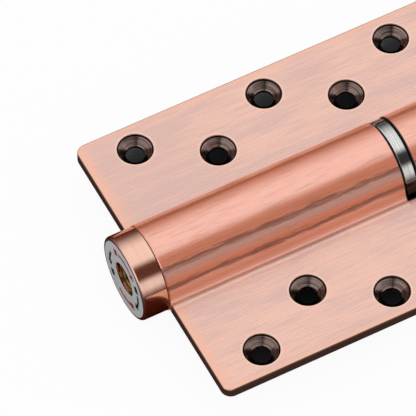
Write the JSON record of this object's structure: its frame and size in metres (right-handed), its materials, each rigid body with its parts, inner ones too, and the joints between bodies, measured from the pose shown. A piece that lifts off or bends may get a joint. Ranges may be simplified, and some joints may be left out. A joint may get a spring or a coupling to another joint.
{
  "type": "hydraulic butt hinge",
  "caption": "Self-closing damped butt hinge, opened flat, with brushed copper leaves, countersunk screw holes, a bright centre ring and a speed screw in one end cap.",
  "frame": {"origin": "under the middle of the barrel, level with the barrel's lowest line", "axes": "+X along the pin axis away from the speed screw, +Y from the near leaf to the far leaf, +Z out of the screw faces"},
  "size_m": [0.1652, 0.09, 0.025],
  "materials": {
    "copper_plate": "brushed red copper plating over steel, clear coated",
    "copper_cap": "turned red copper plating over steel, clear coated",
    "label_film": "pale grey printed film",
    "adjuster_brass": "machined brass",
    "seal_rubber": "black nitrile rubber",
    "seal_plastic": "filled low-friction plastic",
    "ground_steel": "hardened and ground steel",
    "machined_steel": "turned steel",
    "machined_aluminium": "turned aluminium",
    "bearing_steel": "polished bearing steel",
    "spring_steel": "oiled spring wire",
    "bush_bronze": "oil-soaked bronze",
    "cage_plastic": "moulded plastic",
    "bright_ring": "bright turned steel"
  },
  "bodies": {
    "frame_side": {"near_leaf": "copper_plate", "damper_end_cap": "copper_cap", "speed_label": "label_film", "valve_block": "machined_aluminium", "valve_block_seal": "seal_rubber", "cylinder_sleeve": "machined_steel", "gland": "machined_aluminium", "gland_seal": "seal_rubber", "shaft_bush": "bush_bronze", "shaft_seal": "seal_rubber", "fixed_race": "ground_steel", "return_spring": "spring_steel"},
    "door_side": {"far_leaf": "copper_plate", "cam_spindle": "ground_steel", "turning_race": "ground_steel", "centre_ring": "bright_ring", "drive_socket": "machined_steel", "drive_key": "machined_steel", "retaining_washer": "machined_steel", "retaining_bolt": "machined_steel", "far_end_cap": "copper_cap"},
    "piston": {"piston": "machined_aluminium", "piston_seal": "seal_plastic", "follower_pins": "ground_steel", "check_retainer": "machined_steel"},
    "check_ball": {"check_ball": "bearing_steel", "check_spring": "spring_steel"},
    "bearing_cage": {"bearing_cage": "cage_plastic", "bearing_balls": "bearing_steel"},
    "needle": {"needle_valve": "ground_steel"},
    "adjuster": {"adjusting_screw": "adjuster_brass", "adjuster_seal": "seal_rubber"}
  },
  "joints": [
    {"name": "leaf_swing", "type": "hinge", "parent": "frame_side", "child": "door_side", "pos_m": [0, 0, 0.0125], "axis": [1, 0, 0], "range_deg": [0, 180]},
    {"name": "piston_travel", "type": "slide", "parent": "frame_side", "child": "piston", "axis": [-1, 0, 0], "range_m": [0, 0.009], "deforming": ["return_spring"]},
    {"name": "cage_turn", "type": "hinge", "parent": "frame_side", "child": "bearing_cage", "pos_m": [0, 0, 0.0125], "axis": [1, 0, 0], "range_deg": [0, 90]},
    {"name": "needle_travel", "type": "slide", "parent": "frame_side", "child": "needle", "axis": [1, 0, 0], "range_m": [-0.0005, 0.0005]},
    {"name": "adjuster_turn", "type": "hinge", "parent": "needle", "child": "adjuster", "pos_m": [0, 0, 0.0125], "axis": [1, 0, 0], "range_deg": [-180, 180]},
    {"name": "check_ball_lift", "type": "slide", "parent": "piston", "child": "check_ball", "axis": [-1, 0, 0], "range_m": [0, 0.0005], "stiffness_N_per_m": 20, "deforming": ["check_spring"]}
  ],
  "couplings": [
    {"joint": "piston_travel", "follows": "leaf_swing", "m_per_rad": 0.0028648},
    {"joint": "cage_turn", "follows": "leaf_swing", "ratio": 0.5},
    {"joint": "adjuster_turn", "follows": "needle_travel", "rad_per_m": 6283.2}
  ]
}
